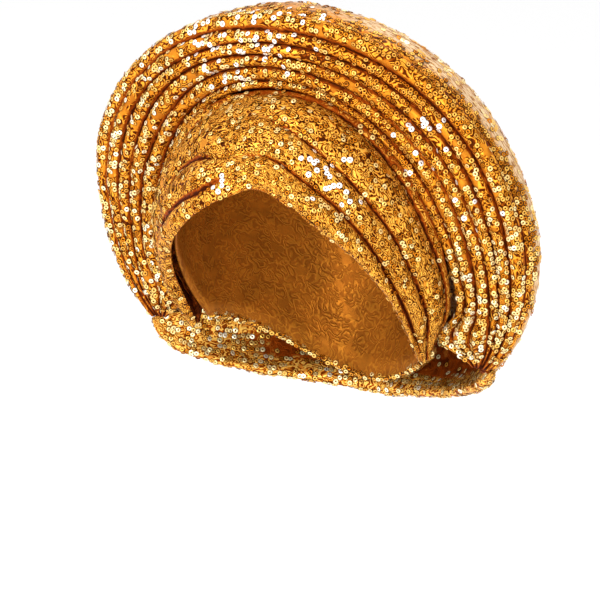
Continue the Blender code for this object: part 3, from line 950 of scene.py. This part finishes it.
def makeBack(settings):
    across = 0.006 + 0.988 * np.linspace(0.0, 1.0, settings["columns"] + 1)[None, :]
    place = np.linspace(0.0, 1.0, settings["rows"] + 1)[:, None] + 0.0 * across
    points = archPoints(archAt(backTable(), place), across)
    normals = outwardNormals(points)
    ends = np.abs(2.0 * across - 1.0)
    wave = place * settings["folds"] + 0.35 * np.sin(across * 9.0 + place * 3.0)
    roll = np.abs(np.sin(wave * math.pi)) ** 0.8
    opened = smoothBetween(0.08, 0.22, place) * (1.0 - smoothBetween(0.90, 0.99, place))
    drawn = smoothBetween(0.35, 0.85, ends) * (1.0 - smoothBetween(0.97, 1.0, ends))
    height = -settings["foldDepth"] * (1.0 - roll) * drawn * opened
    run, rise = clothLengths(points)
    height = height + 0.0007 * ripple(run, rise, 10, 0.02, 0.09) * opened
    points = points + normals * height[..., None]
    # painted shade in the valleys of the folds
    crease = (1.0 - smoothBetween(0.02, 0.30, roll)) * drawn * opened * 0.8
    # the back is paler all over, and paler still where it is lit, which is painted light
    lit = smoothBetween(0.42, 0.62, across) * (1.0 - smoothBetween(0.15, 0.70, place))
    marks = {"crease": crease, "faded": 0.42 + 0.36 * lit}
    sheet = makeSheet("backDrape", points, marks, backCloth)
    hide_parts("back_drape")
    count = int(np.linalg.norm(np.diff(points[:, settings["columns"] // 2], axis=0), axis=1).sum()
                / settings["rowSequins"])
    rows = (np.arange(count) + 0.5) * settings["rows"] / count
    sequins = makeSequins("backSequins", points, rows,
                          lambda row, along: 0.50 + 0.0 * along, crease, flat=True,
                          tones=(0.45, 0.85))


napeSettings = {
    "columns": 180,
    "rows": 30,
    "sag": 0.009,
    "cornerWidth": 0.007,
    "cornerRise": 0.007,
    "knot": (0.1190, 0.0295, -0.1715),
    "flat": (0.32, 0.085),
}


def makeNape(settings):
    edge = backArches[-1]
    innerEdge = insideOf(edge, 2.0 * gele["layer"], power=2.0)
    hang = edge._replace(lean=110.0, crest=0.3527, width=0.650, foot=0.03, power=1.5, end=1.060,
                         drop=1.2)
    table = [
        innerEdge._replace(place=0.0, lean=78.0, back=1.5, drop=0.2),
        innerEdge._replace(place=0.25, lean=93.0, back=1.5),
        insideOf(hang, 0.0024, place=0.5, back=1.5),
        insideOf(hang, -0.0016, place=0.65, lean=111.0, back=1.9),
    ]
    for place, along in ((0.85, 0.98), (1.0, 0.90)):
        outer = Arch(*(float(value) for value in archAt(backTable(), along)))
        table.append(insideOf(outer, -0.0014, place=place))
    across = 0.004 + 0.992 * np.linspace(0.0, 1.0, settings["columns"] + 1)[None, :]
    place = np.linspace(0.0, 1.0, settings["rows"] + 1)[:, None] + 0.0 * across
    points = archPoints(archAt(table, place), across)
    right = 1.0 - 2.0 * across
    low = smoothBetween(0.1, 0.5, place) * (1.0 - smoothBetween(0.65, 0.95, place))
    points[..., 2] -= settings["sag"] * low * smoothBetween(0.1, 0.8, right)
    points[..., 0] -= settings["cornerWidth"] * low * smoothBetween(0.75, 1.0, right)
    innerSide = 1.0 - smoothBetween(0.0, 0.4, place)
    points[..., 2] += settings["cornerRise"] * innerSide * smoothBetween(0.70, 0.90, right)
    points = gathered(points, across, 0.86, 0.90, settings["knot"])
    # its wall goes outwards from the fold, so the sheet is turned over
    points = points[:, ::-1]
    run, rise = clothLengths(points)
    points = points + outwardNormals(points) * (
        gele["wall"] + 0.0004 * ripple(run, rise, 8, 0.01, 0.04))[..., None]
    # painted shade: dark in the pocket over the fold, which is narrower at the left end
    pocket = 0.24 + 0.11 * smoothBetween(0.08, 0.34, across)
    crease = 0.64 * (1.0 - smoothBetween(pocket, pocket + 0.08, place))
    crease = crease * (1.0 - smoothBetween(0.7, 0.9, across))
    marks = {"crease": crease, "faded": 0.0 * crease}
    sheet = makeSheet("napeBand", points, marks, litNapeCloth)
    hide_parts("nape_band")
    rows = np.linspace(1.5, settings["rows"] - 1.5, 22)
    sequins = makeSequins("napeSequins", points, rows,
                          lambda row, along: 0.60 + 0.0 * along, crease, tones=(0.36, 0.88))


crownSettings = {
    "segments": 72,
    "rings": 48,
    "hemReveal": 0.008,
    "napeDrop": 0.200,
    "hemRoll": 0.0024,
    "hemOut": 0.0028,
    "hemTurn": (98.0, 262.0),
    "flat": (0.34, 0.30),
}


def crownDrop(turn, settings):
    side = np.where(turn > 180.0, turn - 360.0, turn)
    behind = (np.abs(side) - wrapSettings["turn"]) / (180.0 - wrapSettings["turn"])
    front = wrapEdgeDrop(side) - settings["hemReveal"]
    return front + (settings["napeDrop"] - front) * smoothBetween(0.0, 1.0, behind)


def makeCrownHem(settings):
    # the lower edge behind is rolled over, with sequins on it
    radius = settings["hemRoll"]
    turn = np.linspace(*settings["hemTurn"], 121)[None, :]
    angle = np.linspace(math.radians(-20.0), math.radians(325.0), 17)[:, None]
    middle = onHead(turn + 0.0 * angle, -crownDrop(turn, settings) + 0.0 * angle,
                    settings["hemOut"])
    away = middle * np.array([1.0, 1.0, 0.0])
    away /= np.linalg.norm(away, axis=2, keepdims=True)
    points = middle + away * (radius * np.cos(angle))[..., None]
    points[..., 2] += radius * np.sin(angle)
    crease = np.zeros(points.shape[:2])
    hem = makeSheet("crownHem", points, {"crease": crease, "faded": crease}, wrapCloth)
    rows = np.arange(1.0, 16.0, 3.4)
    sequins = makeSequins("hemSequins", points, rows,
                          lambda row, along: 0.85 + 0.0 * along, crease)
    return [hem, sequins]


def makeCrown(settings):
    bpy.ops.object.select_all(action="DESELECT")
    bpy.ops.mesh.primitive_uv_sphere_add(segments=settings["segments"],
                                         ring_count=settings["rings"], radius=1.0)
    crown = bpy.context.active_object
    crown.name = "crownWrap"
    bpy.ops.object.mode_set(mode="EDIT")
    bpy.ops.mesh.select_all(action="SELECT")
    bpy.ops.mesh.bisect(plane_co=(0, 0, 0), plane_no=(0, 0, 1), clear_inner=True)
    bpy.ops.object.mode_set(mode="OBJECT")
    mesh = crown.data
    flat = np.zeros(len(mesh.vertices) * 3, np.float32)
    mesh.vertices.foreach_get("co", flat)
    flat = flat.reshape(-1, 3)
    turn = np.degrees(np.arctan2(flat[:, 0], -flat[:, 1]))
    polar = np.arccos(np.clip(flat[:, 2], 0.0, 1.0))
    height = -crownDrop(turn, settings) * (1.0 - np.cos(polar))
    points = onHead(turn, height, 0.0)
    mesh.vertices.foreach_set("co", points.astype(np.float32).ravel())
    mesh.uv_layers[0].name = "clothMap"
    lengths = np.zeros(len(mesh.loops) * 2, np.float32)
    mesh.uv_layers[0].uv.foreach_get("vector", lengths)
    lengths = lengths.reshape(-1, 2) * np.array([0.5, 0.5])
    mesh.uv_layers[0].uv.foreach_set("vector", lengths.astype(np.float32).ravel())
    wall = crown.modifiers.new("wall", "SOLIDIFY")
    wall.thickness = gele["wall"]
    wall.offset = 1.0
    bpy.ops.object.modifier_apply(modifier=wall.name)
    bpy.ops.object.shade_smooth()
    mesh.materials.append(shadedCrownCloth)
    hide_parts("crown_wrap")
    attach(crown, "root")
    makeCrownHem(settings)
    print("crownWrap", len(mesh.polygons), "faces")


makeCrown(crownSettings)
makeWrap("wrapUnder", "wrap_under", wrapUnder)
makeWrap("wrapOver", "wrap_over", wrapOver)
makeFan(fanSettings)
makeBack(backSettings)
makeNape(napeSettings)

# Floor, backdrop and lights

stageSettings = {
    "floorDrop": 0.22,
    "floorSize": 30.0,
    "floorColour": (0.98, 0.98, 0.98),
    "worldStrength": 1.0,
}


def makeStage(settings):
    low = cadBox[0][2] - settings["floorDrop"]
    bpy.ops.object.select_all(action="DESELECT")
    bpy.ops.mesh.primitive_plane_add(size=settings["floorSize"], location=(0.0, 0.0, 0.0))
    floor = bpy.context.active_object
    floor.name = "floor"
    floor.data.transform(Matrix.Translation((0.0, 0.0, low)))
    finish = Finish("paleFloor")
    finish.set(Base_Color=(*settings["floorColour"], 1.0), Roughness=0.8)
    floor.data.materials.append(finish.material)
    world = bpy.data.worlds.new("studio")
    world.use_nodes = True
    sky = world.node_tree.nodes["Background"]
    sky.inputs["Color"].default_value = (1.0, 1.0, 1.0, 1.0)
    sky.inputs["Strength"].default_value = settings["worldStrength"]
    bpy.context.scene.world = world


def makeLight(name, place, target, size, power):
    data = bpy.data.lights.new(name, "AREA")
    data.size = size
    data.energy = power
    item = bpy.data.objects.new(name, data)
    bpy.context.scene.collection.objects.link(item)
    item.location = place
    aim = Vector(target) - Vector(place)
    item.rotation_euler = aim.to_track_quat("-Z", "Y").to_euler()


makeStage(stageSettings)
middle = (0.0, 0.0, -0.08)
makeLight("key", (-0.75, -1.25, 0.95), middle, 0.5, 17.0)
makeLight("top", (0.1, 0.5, 1.6), middle, 1.0, 10.0)
makeLight("fill", (0.55, -1.40, -0.20), middle, 0.8, 14.0)
bpy.context.scene.view_settings.view_transform = "Standard"
